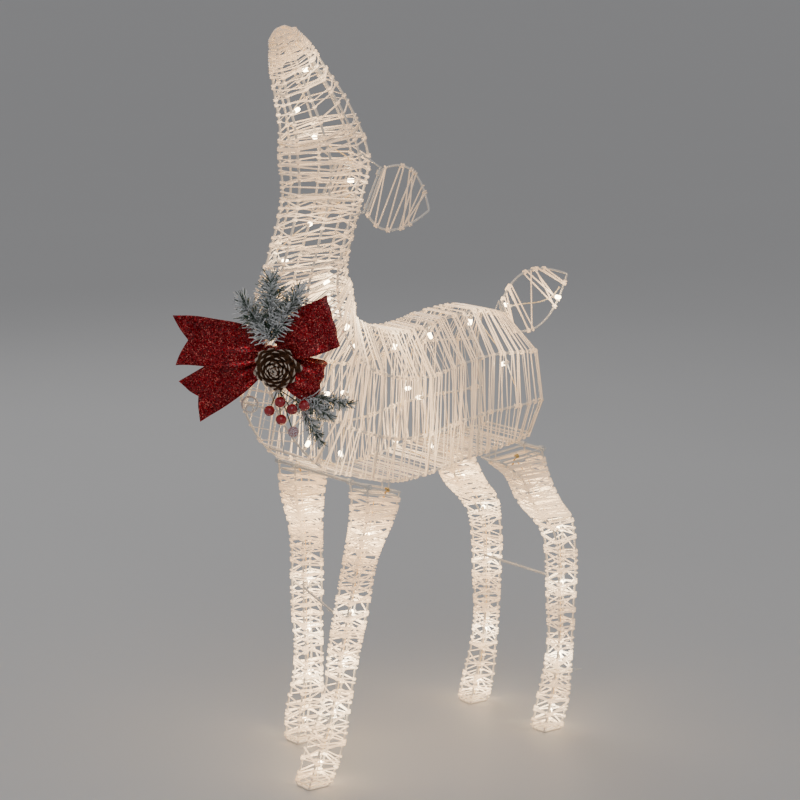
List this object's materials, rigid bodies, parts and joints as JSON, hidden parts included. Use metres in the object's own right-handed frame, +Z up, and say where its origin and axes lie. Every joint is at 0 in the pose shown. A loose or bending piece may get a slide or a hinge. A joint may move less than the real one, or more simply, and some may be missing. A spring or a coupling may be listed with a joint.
{
  "type": "light up yard reindeer",
  "caption": "Free-standing wire doe looking upwards, wound with clear twine and lit from inside, with folding leg pairs and a ribbon and pine cone spray on its chest.",
  "frame": {"origin": "on the ground in the doe's middle plane, between the front and rear feet", "axes": "+Z up, -X towards the chest and nose, -Y the doe's left side"},
  "size_m": [0.582, 0.22, 0.9094],
  "materials": {
    "white_wire": "white powder coat over bent steel wire, slightly rough",
    "clear_twine": "clear to milky PVC twine wound over the frame, glowing warm near the lights",
    "string_wire": "thin two-core LED string wire in clear insulation, golden copper inside",
    "led_lens": "warm white LED lens, lit",
    "bulb_socket": "clear moulded bulb socket",
    "clear_plastic": "clear moulded nylon",
    "gold_tie": "gold coated twist tie",
    "glitter_ribbon": "deep red ribbon covered with glitter, wired edges",
    "pine_cone": "dry brown cone scales with pale frosted tips",
    "berry_gloss": "glossy red berries, one frosted",
    "pine_needles": "dark green pine needles flocked with snow"
  },
  "bodies": {
    "body": {"body_frame": "white_wire", "neck_head_frame": "white_wire", "body_twine": "clear_twine", "neck_head_twine": "clear_twine", "front_hip_rail": "white_wire", "rear_hip_rail": "white_wire", "front_hip_saddles": "white_wire", "rear_hip_saddles": "white_wire", "body_light_string": "string_wire", "trunk_bulbs": "led_lens", "neck_light_string": "string_wire", "spray_tie_wire": "pine_needles", "lead_inlet": "clear_plastic", "chest_hook": "white_wire", "ear_pins": "white_wire", "trunk_bulb_sockets": "bulb_socket", "chest_cable_tie": "clear_plastic", "tail_pin": "white_wire", "ribbon_upper_tail": "glitter_ribbon", "ribbon_lower_tail": "glitter_ribbon", "ribbon_upper_loop": "glitter_ribbon", "ribbon_lower_loop": "glitter_ribbon", "ribbon_knot": "glitter_ribbon", "pine_cone": "pine_cone", "berries": "berry_gloss", "berry_stems": "pine_needles", "upper_sprig": "pine_needles", "lower_sprig": "pine_needles"},
    "front_legs": {"left_front_leg_frame": "white_wire", "right_front_leg_frame": "white_wire", "left_front_leg_twine": "clear_twine", "right_front_leg_twine": "clear_twine", "front_leg_eyes": "white_wire", "front_cross_bar": "white_wire", "front_hip_ties": "gold_tie", "front_leg_light_strings": "string_wire", "front_leg_bulbs": "led_lens", "front_leg_bulb_sockets": "bulb_socket"},
    "rear_legs": {"left_rear_leg_frame": "white_wire", "right_rear_leg_frame": "white_wire", "left_rear_leg_twine": "clear_twine", "right_rear_leg_twine": "clear_twine", "rear_leg_eyes": "white_wire", "rear_cross_bar": "white_wire", "rear_hip_ties": "gold_tie", "rear_leg_light_strings": "string_wire", "rear_leg_bulbs": "led_lens", "rear_leg_bulb_sockets": "bulb_socket", "rear_leg_cable_tie": "clear_plastic"},
    "left_ear": {"left_ear_frame": "white_wire", "left_ear_twine": "clear_twine", "left_ear_eyes": "white_wire"},
    "right_ear": {"right_ear_frame": "white_wire", "right_ear_twine": "clear_twine", "right_ear_eyes": "white_wire"},
    "tail": {"tail_frame": "white_wire", "tail_twine": "clear_twine", "tail_eyes": "white_wire", "tail_bulbs": "led_lens", "tail_bulb_sockets": "bulb_socket"}
  },
  "joints": [
    {"name": "front_legs_fold", "type": "hinge", "parent": "body", "child": "front_legs", "pos_m": [-0.119, 0, 0.364], "axis": [0, 1, 0], "range_deg": [0, 85]},
    {"name": "rear_legs_fold", "type": "hinge", "parent": "body", "child": "rear_legs", "pos_m": [0.152, 0, 0.377], "axis": [0, -1, 0], "range_deg": [0, 85]},
    {"name": "left_ear_turn", "type": "hinge", "parent": "body", "child": "left_ear", "pos_m": [-0.076, -0.046, 0.713], "axis": [0.4563, 0.048, 0.8885], "range_deg": [-40, 25]},
    {"name": "right_ear_turn", "type": "hinge", "parent": "body", "child": "right_ear", "pos_m": [-0.076, 0.046, 0.713], "axis": [0.4563, -0.048, 0.8885], "range_deg": [-25, 40]},
    {"name": "tail_wag", "type": "hinge", "parent": "body", "child": "tail", "pos_m": [0.168, 0, 0.53], "axis": [-0.4195, 0, 0.9078], "range_deg": [-45, 45]}
  ]
}
